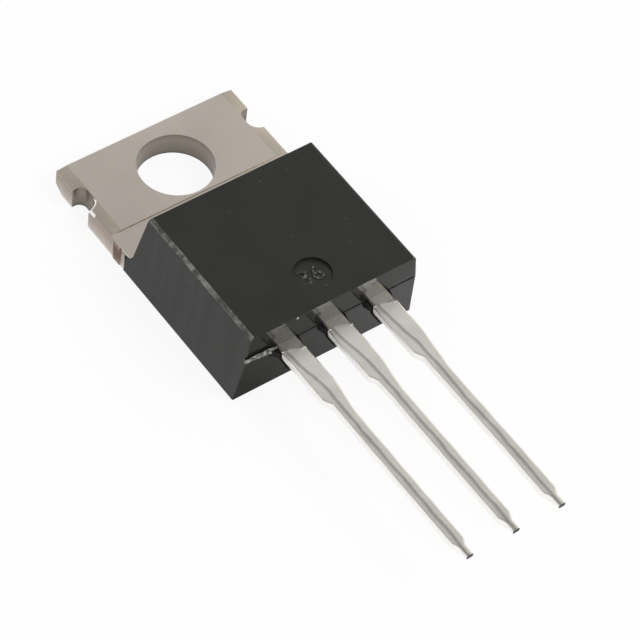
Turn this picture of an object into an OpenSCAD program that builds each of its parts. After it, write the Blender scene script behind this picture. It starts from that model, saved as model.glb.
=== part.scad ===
// Three-lead power transistor in a moulded flat-tab package, lying on its tab.
// The origin is the centre of the mounting hole on the tab's back face.
// +X runs across the leads from gate to source, +Y from the leads to the tab's
// end, and +Z from the tab's back face to the marked face. Millimetres.

/* [Tab] */
// Width of the tab
tab_w = 10; // [9.7:0.05:10.6]
// Thickness of the tab
tab_t = 1.3; // [1.15:0.05:1.4]
// Distance from the hole's centre to the end of the tab
tab_end = 2.65; // [2.55:0.05:3]
// Diameter of the mounting hole
hole_d = 3.75; // [3.55:0.05:3.9]
// Depth of the notch in each side edge
notch_depth = 0.58; // [0.3:0.02:0.7]
// Distance of the notch's flat shoulder from the hole's centre, along Y
notch_shoulder = 1.24; // [1:0.02:1.5]
// Distance of the notch's round end from the hole's centre, along Y
notch_round = 0.46; // [0.3:0.02:0.6]
// Radius of the notch's inner corner
notch_corner = 0.4; // [0.1:0.05:0.5]
// Width of the rolled strip along each side edge
roll_w = 0.6; // [0.3:0.05:0.8]
// Drop of the rolled strip at the edge
roll_drop = 0.08; // [0.02:0.01:0.15]
// Depth of the coined step in front of the moulding
coin_depth = 0.05; // [0.02:0.01:0.1]
// Distance of the coined step from the hole's centre, towards the leads
coin_start = 2; // [1.8:0.05:2.2]
// Start of the sheared tie-bar stub, as a distance from the hole's centre
stub_start = 2.3; // [2.2:0.02:2.4]
// End of the sheared tie-bar stub, as a distance from the hole's centre
stub_end = 2.86; // [2.6:0.02:3]
// How far the stub stands out of the side edge
stub_out = 0.04; // [0.01:0.01:0.1]

/* [Die pad] */
// Width of the pad inside the moulding
pad_w = 8.2; // [7.6:0.1:8.6]
// Distance of the pad's lead end from the hole's centre
pad_end = 10.6; // [10:0.1:10.8]
// Radius of the round notches that lock the pad in the moulding
pad_lock_r = 0.45; // [0.2:0.05:0.6]

/* [Moulded body] */
// Width of the body at the back face
body_w = 10.06; // [9.6:0.02:10.4]
// Height of the marked face above the tab's back face
body_h = 4.45; // [4.2:0.05:4.8]
// Distance of the tab-side wall's foot on the tab from the hole's centre
body_start = 3.66; // [3.5:0.01:3.9]
// Distance from the hole's centre to where the moulding wraps the tab's sides
wrap_start = 3.18; // [3.1:0.01:3.4]
// Thickness, at the back face, of the moulding that wraps each side of the tab
wrap_t = 0.25; // [0.18:0.01:0.35]
// Distance of the parting line on the lead-side wall from the hole's centre
body_end = 12.46; // [12.2:0.01:12.8]
// Slope of the two side walls, in degrees
side_draft = 5.8; // [3:0.1:10]
// Slope of the tab-side wall, in degrees
rear_draft = 10.8; // [5:0.1:15]
// Slope of the lead-side wall below the parting line, in degrees
lower_draft = 6.3; // [3:0.1:10]
// Slope of the lead-side wall above the parting line, in degrees
upper_draft = 1; // [0.5:0.1:8]
// Radius of the round ejector-pin mark
mark_r = 0.92; // [0.5:0.02:1.2]
// Depth of the ejector-pin mark
mark_depth = 0.06; // [0.02:0.01:0.15]
// Distance of the ejector-pin mark from the hole's centre
mark_y = 10.7; // [9.5:0.1:11]

/* [Leads] */
// Spacing of the leads
lead_pitch = 2.54; // [2.54]
// Thickness of the leads
lead_t = 0.42; // [0.36:0.01:0.55]
// Height of the leads' top face, level with the parting line
lead_z = 3.08; // [2.8:0.01:3.2]
// Width of a lead where it leaves the body
neck_w = 1.15; // [1:0.05:1.2]
// Width of the wide stretch
wide_w = 1.2; // [1.16:0.02:1.5]
// Width of the long narrow stretch
thin_w = 0.72; // [0.6:0.02:0.9]
// Width of the sheared tip
tip_w = 0.38; // [0.3:0.02:0.5]
// End of the neck, as a distance from the hole's centre, like those below
neck_end = 12.92; // [12.8:0.01:13.2]
// Start of the wide stretch
wide_start = 13.08; // [12.9:0.01:13.3]
// End of the wide stretch on the left, where the dam bar was cut off square
cut_end = 16.05; // [15.8:0.05:16.2]
// Start of the narrow stretch on the left
cut_foot = 16.45; // [16.3:0.05:16.8]
// End of the wide stretch on the right, where the edge runs in gently
taper_start = 15.25; // [15:0.05:15.8]
// Start of the narrow stretch on the right
taper_end = 17.4; // [16.6:0.05:17.8]
// End of the narrow stretch
thin_end = 25.3; // [24:0.05:25.5]
// Start of the sheared tip
tip_start = 25.65; // [25.55:0.05:26]
// End of the sheared tip
tip_end = 26.2; // [26.1:0.05:27]

/* [Inside] */
// Size of the silicon die across the leads
die_w = 4.6; // [2:0.1:6]
// Size of the silicon die along the leads
die_l = 3.6; // [2:0.1:4.5]
// Thickness of the silicon die
die_t = 0.3; // [0.15:0.01:0.4]
// Distance of the die's centre from the hole's centre
die_y = 7.5; // [7:0.1:8]
// Thickness of the solder under the die
solder_t = 0.05; // [0.03:0.01:0.1]
// How far the solder stands out round the die
solder_rim = 0.15; // [0.05:0.05:0.3]
// Width of the bond posts at the inner ends of the outer leads
post_w = 2.3; // [1.8:0.1:2.6]
// Length of the bond posts
post_l = 0.95; // [0.7:0.05:1.1]
// Diameter of the gate bond wire
gate_wire_d = 0.18; // [0.12:0.01:0.25]
// Diameter of each source bond wire
source_wire_d = 0.38; // [0.25:0.01:0.5]
// Half the angle that each bond wire's loop turns through, in degrees
loop_half_angle = 60; // [50:1:65]

/* [Hidden] */
$fn = 48;
// Overshoot of cutting shapes past the faces that they cut
past = 1;
lead_bottom = lead_z - lead_t;
// Where the walls of the body reach the marked face
top_half_w = body_w / 2 - body_h * tan(side_draft);
wrap_h = tab_t - coin_depth;
rear_top = body_start + (body_h - wrap_h) * tan(rear_draft);
end_foot = body_end - lead_z * tan(lower_draft);
end_top = body_end - (body_h - lead_z) * tan(upper_draft);
// End of the tab's shoulders inside the moulding
shoulder_end = 4.3;
// The drain lead's rise from the pad to the plane of the leads
rise_start = pad_end + 0.3;
rise_end = 11.85;
rise_angle = atan((lead_z - tab_t) / (rise_end - rise_start));
// Inner end of the bond posts, and of the part of each lead that carries them
post_end = 11.7;
// Radius of the bites that lock an outer lead, and their distance from its post
lock_r = 0.14;
lock_gap = 0.35;
die_top = tab_t + solder_t + die_t;
// Bond feet, as places across and along the part
gate_pad = [-1.7, -8.8];
gate_foot = [-2.75, -11.2];
source_pads = [[0.75, -8.3], [1.75, -8.3]];
source_feet = [[2.15, -11.2], [3.15, -11.2]];
// Length, width and thickness of a bond foot, in wire diameters
foot_ratio = 1.8;
foot_spread = 1.3;
foot_press = 0.55;

// Half widths of a lead from inside the body to the sheared tip, with its
// shoulder from the end of the wide stretch to the start of the narrow one
function lead_edge(shoulder_from, shoulder_to) = [
    [neck_w / 2, post_end - post_l / 2],
    [neck_w / 2, neck_end],
    [wide_w / 2, wide_start],
    [wide_w / 2, shoulder_from],
    [thin_w / 2, shoulder_to],
    [thin_w / 2, thin_end],
    [tip_w / 2, tip_start],
    [tip_w / 2, tip_end],
];

// Stamped outline of a straight lead, seen from above
module lead_outline() {
    left = lead_edge(cut_end, cut_foot);
    right = lead_edge(taper_start, taper_end);
    polygon(concat(
        [for (p = right) [p[0], -p[1]]],
        [for (i = [len(left) - 1:-1:0]) [-left[i][0], -left[i][1]]]
    ));
}

// Side notch of the tab, cut into the right-hand edge: round towards the
// leads and square-shouldered towards the tab's end
module notch_outline() {
    edge = tab_w / 2;
    inner = edge - notch_depth;
    translate([edge, notch_round]) circle(r = notch_depth);
    translate([inner + notch_corner, notch_shoulder - notch_corner]) circle(r = notch_corner);
    translate([inner, notch_round])
        square([2 * notch_depth, notch_shoulder - notch_corner - notch_round]);
    translate([inner + notch_corner, notch_round])
        square([2 * notch_depth, notch_shoulder - notch_round]);
}

// Outline of the thick part of the stamping: the tab with its sheared stubs,
// the shoulders that the moulding wraps, and the die pad
module tab_outline() {
    wrapped_w = tab_w - 2 * wrap_t;
    stub_w = tab_w + 2 * stub_out;
    difference() {
        union() {
            translate([-tab_w / 2, -wrap_start]) square([tab_w, tab_end + wrap_start]);
            translate([-stub_w / 2, -stub_end]) square([stub_w, stub_end - stub_start]);
            translate([-wrapped_w / 2, -shoulder_end]) square([wrapped_w, shoulder_end]);
            translate([-pad_w / 2, -pad_end]) square([pad_w, pad_end]);
        }
        notch_outline();
        mirror([1, 0]) notch_outline();
        for (side = [-1, 1], y = [5.6, 9.2])
            translate([side * pad_w / 2, -y]) circle(r = pad_lock_r);
    }
}

// Wedge that rolls the right-hand top edge of the tab down
module edge_roll() {
    slope_x = [[tab_w / 2 - roll_w, tab_t], [tab_w / 2 + past, tab_t - roll_drop * (roll_w + past) / roll_w]];
    translate([0, tab_end + past, 0]) rotate([90, 0, 0])
        linear_extrude(tab_end + past + coin_start)
            polygon([slope_x[0], slope_x[1], [tab_w / 2 + past, tab_t + past],
                     [tab_w / 2 - roll_w, tab_t + past]]);
}

// Side view of the drain lead: along the pad, up the rise, then straight out
module drain_strip() {
    shift = lead_t * tan(rise_angle / 2);
    polygon([
        [-pad_end + 0.2, tab_t],
        [-rise_start, tab_t],
        [-rise_end, lead_z],
        [-tip_end, lead_z],
        [-tip_end, lead_bottom],
        [-rise_end - shift, lead_bottom],
        [-rise_start - shift, tab_t - lead_t],
        [-pad_end + 0.2, tab_t - lead_t],
    ]);
}

// The drain lead, stamped and then set up by the rise
module drain_lead_shape() {
    intersection() {
        linear_extrude(body_h) union() {
            lead_outline();
            translate([-neck_w / 2, -rise_end]) square([neck_w, rise_end - pad_end + 0.2]);
        }
        translate([-wide_w, 0, 0]) rotate([90, 0, 90])
            linear_extrude(2 * wide_w) drain_strip();
    }
}

// Whole drain stamping with its mounting hole
module drain_tab_shape() {
    difference() {
        union() {
            linear_extrude(tab_t) tab_outline();
            drain_lead_shape();
        }
        translate([0, 0, -past]) cylinder(d = hole_d, h = tab_t + 2 * past);
        edge_roll();
        mirror([1, 0, 0]) edge_roll();
        // Coined step, from its edge to inside the moulding
        translate([-tab_w, -rear_top, tab_t - coin_depth])
            cube([2 * tab_w, rear_top - coin_start, past]);
    }
}

// Outer lead with its bond post. side is -1 for the gate and 1 for the source
module outer_lead_shape(side) {
    post_x = side * (lead_pitch + 0.25);
    translate([0, 0, lead_bottom]) difference() {
        union() {
            translate([side * lead_pitch, 0, 0]) linear_extrude(lead_t) lead_outline();
            translate([post_x - post_w / 2, -post_end, 0]) cube([post_w, post_l, lead_t]);
        }
        // Round bites that lock the lead in the moulding
        for (edge = [-1, 1])
            translate([side * lead_pitch + edge * neck_w / 2, -post_end - lock_gap, -past])
                cylinder(r = lock_r, h = lead_t + 2 * past);
    }
}

// Die and the solder under it
module die_shape() {
    translate([-die_w / 2, -die_y - die_l / 2, tab_t + solder_t]) cube([die_w, die_l, die_t]);
}

module solder_shape() {
    translate([-die_w / 2 - solder_rim, -die_y - die_l / 2 - solder_rim, tab_t])
        cube([die_w + 2 * solder_rim, die_l + 2 * solder_rim, solder_t]);
}

// Bond wire of diameter d in one vertical plane, from the die to a post:
// a round loop, and a foot pressed flat on each surface
module bond_wire_shape(d, from, to) {
    run = norm(to - from);
    rise = lead_z - die_top;
    chord = norm([run, rise]);
    chord_angle = atan2(rise, run);
    loop_r = chord / 2 / sin(loop_half_angle);
    drop = loop_r * cos(loop_half_angle);
    heading = atan2(to[1] - from[1], to[0] - from[0]);
    foot_l = foot_ratio * d;
    foot_w = foot_spread * d;
    foot_h = foot_press * d;
    translate([from[0], from[1], die_top]) rotate([0, 0, heading]) {
        difference() {
            translate([run / 2 + drop * sin(chord_angle), 0, rise / 2 - drop * cos(chord_angle)])
                rotate([90, 0, 0])
                    rotate([0, 0, 90 + chord_angle - loop_half_angle])
                        rotate_extrude(angle = 2 * loop_half_angle)
                            translate([loop_r, 0]) circle(d = d);
            // Flat undersides, level with the die and with the post
            translate([-d, -d, -past]) cube([2 * d, 2 * d, past]);
            translate([run - foot_l, -d, rise - past]) cube([2 * foot_l, 2 * d, past]);
        }
        translate([-foot_l + d / 4, -foot_w / 2, 0]) cube([foot_l, foot_w, foot_h]);
        translate([run - d / 4, -foot_w / 2, rise]) cube([foot_l, foot_w, foot_h]);
    }
}

module gate_wire_shape() {
    bond_wire_shape(gate_wire_d, gate_pad, gate_foot);
}

module source_wire_shape(i) {
    bond_wire_shape(source_wire_d, source_pads[i], source_feet[i]);
}

// Outside of the moulding: side walls, tab-side wall and lead-side wall that
// all lean in, with the widest line of the lead side at the parting line and a
// low front part that wraps the tab's sides
module body_blank() {
    intersection() {
        translate([-body_w, 0, 0]) rotate([90, 0, 90]) linear_extrude(2 * body_w)
            polygon([
                [-wrap_start, 0],
                [-wrap_start, wrap_h],
                [-body_start, wrap_h],
                [-rear_top, body_h],
                [-end_top, body_h],
                [-body_end, lead_z],
                [-end_foot, 0],
            ]);
        rotate([90, 0, 0]) linear_extrude(body_end + past)
            polygon([
                [-body_w / 2, 0],
                [body_w / 2, 0],
                [top_half_w, body_h],
                [-top_half_w, body_h],
            ]);
    }
}

module drain_tab() {
    color([0.64, 0.61, 0.57]) drain_tab_shape();
}

module gate_lead() {
    color([0.76, 0.75, 0.72]) outer_lead_shape(-1);
}

module source_lead() {
    color([0.76, 0.75, 0.72]) outer_lead_shape(1);
}

module moulded_body() {
    color([0.16, 0.16, 0.16]) difference() {
        body_blank();
        translate([0, -mark_y, body_h - mark_depth]) cylinder(r = mark_r, h = past);
        drain_tab_shape();
        outer_lead_shape(-1);
        outer_lead_shape(1);
        solder_shape();
        die_shape();
        gate_wire_shape();
        source_wire_shape(0);
        source_wire_shape(1);
    }
}

module silicon_die() {
    color([0.35, 0.36, 0.4]) die_shape();
}

module die_attach_solder() {
    color([0.6, 0.6, 0.62]) solder_shape();
}

module gate_bond_wire() {
    color([0.82, 0.82, 0.84]) gate_wire_shape();
}

module source_bond_wire_left() {
    color([0.82, 0.82, 0.84]) source_wire_shape(0);
}

module source_bond_wire_right() {
    color([0.82, 0.82, 0.84]) source_wire_shape(1);
}

drain_tab();
gate_lead();
source_lead();
moulded_body();
silicon_die();
die_attach_solder();
gate_bond_wire();
source_bond_wire_left();
source_bond_wire_right();
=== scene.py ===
"""Looks of a three-lead power transistor in a flat-tab package.

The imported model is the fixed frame. Each visible solid gets a dressed piece in
its place: the drain stamping, the two outer leads and the moulded body. The
chip, its solder and its bond wires keep their solids and get their finishes.
Small remains of trimming and moulding are pieces of their own. Meshes are in
metres, and the fields that are sizes give them in millimetres.
"""

import logging
import math
from dataclasses import dataclass
from enum import Enum, IntEnum
from functools import partial
from typing import Any, Callable, Iterable, Sequence

import bmesh
import bpy
from bmesh.types import BMEdge, BMesh, BMFace
from bpy.types import Material, Node, NodeSocket, NodeTree
from mathutils import Matrix, Vector, noise


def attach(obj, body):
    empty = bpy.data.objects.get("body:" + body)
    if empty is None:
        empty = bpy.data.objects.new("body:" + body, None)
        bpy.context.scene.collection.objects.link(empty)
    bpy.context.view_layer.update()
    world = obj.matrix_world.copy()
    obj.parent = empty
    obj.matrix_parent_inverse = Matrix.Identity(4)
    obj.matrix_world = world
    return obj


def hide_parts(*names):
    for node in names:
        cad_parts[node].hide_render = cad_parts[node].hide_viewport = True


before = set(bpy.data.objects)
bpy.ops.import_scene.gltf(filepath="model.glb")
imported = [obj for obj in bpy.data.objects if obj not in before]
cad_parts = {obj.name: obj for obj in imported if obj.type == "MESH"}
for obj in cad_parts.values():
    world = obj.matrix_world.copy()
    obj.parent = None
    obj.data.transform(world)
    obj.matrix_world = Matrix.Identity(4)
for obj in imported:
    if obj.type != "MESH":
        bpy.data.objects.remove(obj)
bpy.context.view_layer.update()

log = logging.getLogger("transistor")

MM = 0.001
BODY = "root"
# Corners nearer than this are one corner
WELD = 0.0005 * MM
# Corners nearer than this to a cutting plane lie on it
ON_CUT = 1e-8
# Slack, in millimetres, where places are compared
NEAR = 0.01
# Noise textures stay mostly between these values
NOISE_LOW, NOISE_HIGH = 0.3, 0.7
# noise_vector starts from the clock unless it is seeded
NOISE_SEED = 1


class Slot(Enum):
    """The record's material slots."""

    TAB = "tab_metal"
    LEAD = "lead_metal"
    MOULDING = "moulding"


class Wall(Enum):
    """The surfaces that the mould gives to the epoxy."""

    TOP = "matt_top"
    SIDE = "eroded_side"
    END = "polished_end"


class Coat(IntEnum):
    """The finishes of a lead, by their place in its list."""

    TOP = 0
    CUT = 1
    SIDE = 2


class TabFinish(IntEnum):
    """The finishes of the stamping, where those of its lead begin at LEAD."""

    PLATED = 0
    SHEARED = 1
    PUNCHED = 2
    BARE = 3
    LEAD = 4
    ROLLED = 7
    PAINTED_GLINT = 8


class BodyFinish(IntEnum):
    """The finishes of the moulding, by their place in its list."""

    TOP = 0
    SIDE = 1
    END = 2
    RUBBED_AND_HIGHLIT = 3
    PAINTED_SHADOW = 4


def linear(hex_colour: str) -> tuple[float, float, float, float]:
    """Turns an sRGB hex colour into linear RGBA.

    Args:
        hex_colour: Six hex digits, such as "a39a90".

    Returns:
        Linear red, green and blue, and an alpha of 1.
    """
    parts = [int(hex_colour[i : i + 2], 16) / 255 for i in (0, 2, 4)]
    lin = [c / 12.92 if c <= 0.04045 else ((c + 0.055) / 1.055) ** 2.4 for c in parts]
    return (lin[0], lin[1], lin[2], 1.0)


def per_metre(period_mm: float) -> float:
    """Gives the noise scale for a pattern that repeats about every period_mm."""
    return 1 / (period_mm * MM)


def add_node(
    tree: NodeTree,
    kind: str,
    inputs: dict[str | int, Any] | Sequence[Any] = (),
    stops: Sequence[tuple[float, str]] = (),
    **settings: Any,
) -> Node:
    """Adds a node with its settings, values and links.

    Args:
        tree: The node tree that the node goes in.
        kind: The node's type name, without the prefix that all share.
        inputs: Its inputs by name or index, or the first ones in order. Each is
            a value, a socket to link, or a node whose first output is linked.
        stops: Positions and hex colours, in order, where it is a colour ramp.
        **settings: Attributes to set on the node.

    Returns:
        The new node.
    """
    node = tree.nodes.new("ShaderNode" + kind)
    for key, value in settings.items():
        setattr(node, key, value)
    for key, value in inputs.items() if isinstance(inputs, dict) else enumerate(inputs):
        source = value.outputs[0] if isinstance(value, Node) else value
        if isinstance(source, NodeSocket):
            tree.links.new(source, node.inputs[key])
        else:
            node.inputs[key].default_value = source
    for index, (position, colour) in enumerate(stops):
        elements = node.color_ramp.elements
        element = elements[index] if index < 2 else elements.new(position)
        element.position = position
        element.color = linear(colour)
    return node


class Finish:
    """A finish, which builds its own node material."""

    name: str

    def shade(self, add: Callable[..., Node], coords: NodeSocket) -> Node:
        """Adds the nodes of the surface and gives its shader, one for each finish."""
        raise NotImplementedError

    def make(self) -> Material:
        """Builds the material.

        Returns:
            The finished material.
        """
        material = bpy.data.materials.new(self.name)
        material.use_nodes = True
        tree = material.node_tree
        tree.nodes.clear()
        add = partial(add_node, tree)
        coords = add("TexCoord").outputs["Object"]
        add("OutputMaterial", {"Surface": self.shade(add, coords)})
        return material


@dataclass(frozen=True)
class TinnedCopper(Finish):
    """Matt tin electroplated on a rolled copper strip, then tumbled.

    The eye gets a warm grey satin, with a fine grain, faint cloudy patches and
    hair scratches along the strip.
    """

    name: str = "matt_tin_on_rolled_copper"
    light: str = "d0c7bd"
    dark: str = "c8bfb5"
    roughness: float = 0.33
    # Grain of the plating is about 0.02 mm, drawn at 0.09 mm so that it shows
    grain_mm: float = 0.09
    cloud_mm: float = 3.2
    scratch_mm: float = 0.12
    scratch_turn: float = math.radians(4)
    scratch_squeeze: float = 0.03
    smoother: float = 0.04
    duller: float = 0.05
    depth_mm: float = 0.004

    def shade(self, add: Callable[..., Node], coords: NodeSocket) -> Node:
        """Adds clouds to the tone, and grain and scratches to the relief.

        Args:
            add: Adds a node to the material.
            coords: The object coordinates in it.

        Returns:
            The shader.
        """
        turned = {"Rotation": (0, 0, self.scratch_turn), "Scale": (1, self.scratch_squeeze, 1)}
        stretched = add("Mapping", {"Vector": coords, **turned})
        clouds, grain, scratches = (
            add("TexNoise", {"Vector": at, "Scale": per_metre(size), "Detail": detail})
            for at, size, detail in (
                (coords, self.cloud_mm, 3),
                (coords, self.grain_mm, 2),
                (stretched, self.scratch_mm, 3),
            )
        )
        stops = [(NOISE_LOW, self.dark), (NOISE_HIGH, self.light)]
        spread = (self.roughness - self.smoother, self.roughness + self.duller)
        heights = add("Math", [grain, scratches], operation="ADD")
        relief = {"Strength": 0.25, "Distance": self.depth_mm * MM, "Height": heights}
        surface = {
            "Base Color": add("ValToRGB", [clouds], stops),
            "Metallic": 1.0,
            "Roughness": add("MapRange", [scratches, NOISE_LOW, NOISE_HIGH, *spread]),
            "Normal": add("Bump", relief),
        }
        return add("BsdfPrincipled", surface)


@dataclass(frozen=True)
class CutMetal(Finish):
    """A wall of the stamping, where a tool cut through the strip.

    The eye gets a smooth band where the tool entered, a rougher and darker one
    where the metal broke, and drag lines up and down the wall.

    Attributes:
        name: The material's name.
        stops: Places up the wall, from 0 at its foot to 1 at its top, and the
            colours there.
        roughness: Roughness of the wall.
        foot_mm: Height of the wall's foot.
        top_mm: Height of the wall's top.
        waver: How far the bands wander, as a share of the wall.
        drag_mm: Spacing of the drag lines.
        drag_depth_mm: Depth of the drag lines.
        drag_squeeze: Width of a drag line, as a share of its length.
    """

    name: str
    stops: tuple[tuple[float, str], ...]
    roughness: float = 0.4
    foot_mm: float = 0.0
    top_mm: float = 1.3
    waver: float = 0.3
    drag_mm: float = 0.09
    drag_depth_mm: float = 0.006
    drag_squeeze: float = 0.1

    def shade(self, add: Callable[..., Node], coords: NodeSocket) -> Node:
        """Adds the bands up the wall and the drag lines.

        Args:
            add: Adds a node to the material.
            coords: The object coordinates in it.

        Returns:
            The shader.
        """
        height = add("SeparateXYZ", [coords]).outputs["Z"]
        share = add("MapRange", [height, self.foot_mm * MM, self.top_mm * MM])
        upright = {"Vector": coords, "Scale": (1, 1, self.drag_squeeze)}
        lines = {"Vector": add("Mapping", upright), "Detail": 3}
        drag = add("TexNoise", {**lines, "Scale": per_metre(self.drag_mm)})
        shifted = add("Math", [drag, self.waver, share], operation="MULTIPLY_ADD")
        band = add("Math", [shifted, self.waver / 2], operation="SUBTRACT")
        relief = {"Strength": 0.5, "Distance": self.drag_depth_mm * MM, "Height": drag}
        surface = {
            "Base Color": add("ValToRGB", [band], self.stops),
            "Metallic": 1.0,
            "Roughness": self.roughness,
            "Normal": add("Bump", relief),
        }
        return add("BsdfPrincipled", surface)


@dataclass(frozen=True)
class SolderDip(Finish):
    """Copper alloy leads: dull plating at the root, then hot solder dip.

    The eye gets a pale silvery satin, slightly wavy, with one darker line along
    the top that is painted shade of a crease in its crown, and a duller grey
    stretch between the moulding and the dip.
    """

    name: str = "solder_dip_painted_crease_shade"
    plateau: str = "f0ede5"
    behind_line: str = "efece5"
    # The next two colours are painted shade of a crease along the top: beside it and on it
    beside_crease_shade: str = "d2cfc7"
    drag: str = "b6b3aa"
    plating: str = "cdc8bf"
    roughness: float = 0.24
    plating_roughness: float = 0.32
    metallic: float = 1.0
    # The dip's edge dries frosty
    edge_roughness: float = 0.4
    frosty_to_mm: float = -13.9
    pitch_mm: float = 2.54
    # Where the dip ends near the moulding, and how it leans, waves and fades there
    dip_y_mm: float = -12.98
    dip_lean: float = 0.25
    dip_wave_mm: float = 0.15
    dip_fade_mm: tuple[float, float] = (0.11, 0.04)
    # The painted crease shade wanders from the left edge at the root to the middle
    crease_shade_root_mm: float = -0.36
    crease_shade_root_y_mm: float = -13.05
    crease_shade_mid_mm: float = -0.05
    crease_shade_mid_y_mm: float = -15.9
    crease_shade_reach_mm: float = 0.5
    wander_mm: float = 0.2
    wave_mm: float = 1.1
    wave_depth_mm: float = 0.05
    grain_mm: float = 0.07
    grain_depth_mm: float = 0.003

    def crease_shade_tone(
        self, add: Callable[..., Node], across: Node, along: NodeSocket, waves: Node
    ) -> Node:
        """Adds the painted shade of a crease in the crown, on and beside its line.

        Args:
            add: Adds a node to the material.
            across: Place across one lead.
            along: Place along the leads.
            waves: The noise that the line wanders with.

        Returns:
            The colour ramp.
        """
        bends = (self.crease_shade_mid_y_mm, self.crease_shade_root_y_mm, self.crease_shade_mid_mm, self.crease_shade_root_mm)
        route = [along, *(bend * MM for bend in bends)]
        middle = add("MapRange", route, interpolation_type="SMOOTHSTEP")
        wandering = [waves, self.wander_mm * MM, middle]
        line = add("Math", wandering, operation="MULTIPLY_ADD")
        beside = add("Math", [across, line], operation="SUBTRACT")
        # Noise is never negative, so half the wander is taken off both ends
        ends = [(side * self.crease_shade_reach_mm - self.wander_mm / 2) * MM for side in (-1, 1)]
        share = add("MapRange", [beside, *ends])
        stops = [
            (0.12, self.behind_line),
            (0.34, self.behind_line),
            (0.43, self.beside_crease_shade),
            (0.49, self.drag),
            (0.52, self.drag),
            (0.62, self.plateau),
        ]
        return add("ValToRGB", [share], stops)

    def shade(self, add: Callable[..., Node], coords: NodeSocket) -> Node:
        """Adds the plating, the dip over it with its painted crease shade, its waves and grain.

        Args:
            add: Adds a node to the material.
            coords: The object coordinates in it.

        Returns:
            The shader.
        """
        place = add("SeparateXYZ", [coords])
        along, half = place.outputs["Y"], self.pitch_mm / 2 * MM
        # Place across one lead: X wrapped at half the pitch on each side
        across = add("Math", [place.outputs["X"], half, -half], operation="WRAP")
        waves, grain = (
            add("TexNoise", {"Vector": coords, "Scale": per_metre(size), "Detail": detail})
            for size, detail in ((self.wave_mm, 3), (self.grain_mm, 2))
        )
        leaning = add("Math", [across, self.dip_lean, along], operation="MULTIPLY_ADD")
        waving = [waves, self.dip_wave_mm * MM, leaning]
        dip_edge = add("Math", waving, operation="MULTIPLY_ADD")
        fade = [(self.dip_y_mm + step) * MM for step in self.dip_fade_mm]
        dipped = add("MapRange", [dip_edge, *fade])
        coats = {0: dipped, 6: linear(self.plating), 7: self.crease_shade_tone(add, across, along, waves)}
        frost = (self.frosty_to_mm * MM, self.dip_y_mm * MM, self.roughness, self.edge_roughness)
        frosted = add("MapRange", [along, *frost])
        relief = {"Strength": 0.3, "Distance": self.wave_depth_mm * MM, "Height": waves}
        swell = add("Bump", relief)
        relief = {"Strength": 0.2, "Distance": self.grain_depth_mm * MM, "Height": grain}
        surface = {
            "Base Color": add("Mix", coats, data_type="RGBA").outputs[2],
            "Metallic": self.metallic,
            "Roughness": add("MapRange", [dipped, 0, 1, self.plating_roughness, frosted]),
            "Normal": add("Bump", {**relief, "Normal": swell}),
        }
        return add("BsdfPrincipled", surface)


@dataclass(frozen=True)
class MouldedEpoxy(Finish):
    """Black silica-filled epoxy, transfer moulded.

    The eye gets a neutral near-black with a fine matt grain and a few pale
    flecks from the eroded mould, and a glassy end where the mould is polished
    round the leads, its gloss painted to fade towards the lower left as painted
    shade.
    """

    wall: Wall
    colour: str = "1e1e1c"
    patch: str = "232321"
    fleck: str = "3c3c39"
    roughness: float = 0.5
    roughness_spread: float = 0.1
    grain_mm: float = 0.12
    grain_depth_mm: float = 0.006
    cloud_mm: float = 2.0
    cloud_levels: tuple[float, float] = (0.35, 0.65)
    fleck_mm: float = 0.3
    fleck_levels: tuple[float, float] = (0.74, 0.8)
    # Carbon black dulls the gloss of a plain epoxy
    specular: float = 0.3
    ior: float = 1.5
    # The end's gloss is painted to fade from its upper right into painted shade at its lower left
    gloss_in_painted_shade: float = 0.15
    gloss_out_of_painted_shade: float = 0.62
    painted_shade_from_mm: float = -3.8
    painted_shade_to_mm: float = 6.0
    painted_shade_rise: float = 0.7

    @property
    def name(self) -> str:
        """Names the material after its wall."""
        return "black_filled_epoxy_" + self.wall.value

    def shade(self, add: Callable[..., Node], coords: NodeSocket) -> Node:
        """Adds clouds, flecks and grain, and on the end gloss faded by painted shade.

        Args:
            add: Adds a node to the material.
            coords: The object coordinates in it.

        Returns:
            The shader.
        """
        clouds, grain, sparse = (
            add("TexNoise", {"Vector": coords, "Scale": per_metre(size), **look})
            for size, look in (
                (self.cloud_mm, {"Detail": 5, "Roughness": 0.6}),
                (self.grain_mm, {"Detail": 3}),
                (self.fleck_mm, {"Detail": 1}),
            )
        )
        stops = list(zip(self.cloud_levels, (self.colour, self.patch)))
        tone = add("ValToRGB", [clouds], stops)
        fleck_share = add("MapRange", [sparse, *self.fleck_levels])
        skins = {0: fleck_share, 6: tone, 7: linear(self.fleck)}
        flecked = add("Mix", skins, data_type="RGBA").outputs[2]
        spread = [self.roughness * (1 + side * self.roughness_spread) for side in (-1, 1)]
        relief = {"Strength": 0.5, "Distance": self.grain_depth_mm * MM, "Height": grain}
        surface = {
            "Base Color": flecked,
            "Roughness": add("MapRange", [clouds, NOISE_LOW, NOISE_HIGH, *spread]),
            "IOR": self.ior,
            "Specular IOR Level": self.specular,
            "Normal": add("Bump", relief),
        }
        skin = add("BsdfPrincipled", surface)
        if self.wall is not Wall.END:
            return skin
        # On the end, gloss fades into matt towards the lower left: painted shade
        place = add("SeparateXYZ", [coords]).outputs
        rising = [place["Z"], self.painted_shade_rise, place["X"]]
        slant = add("Math", rising, operation="MULTIPLY_ADD")
        reach = (self.painted_shade_from_mm * MM, self.painted_shade_to_mm * MM)
        shares = (self.gloss_in_painted_shade, self.gloss_out_of_painted_shade)
        gloss_with_painted_shade = add("MapRange", [slant, *reach, *shares])
        matt = add("BsdfDiffuse", {"Color": flecked})
        return add("MixShader", [gloss_with_painted_shade, matt, skin])


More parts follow.
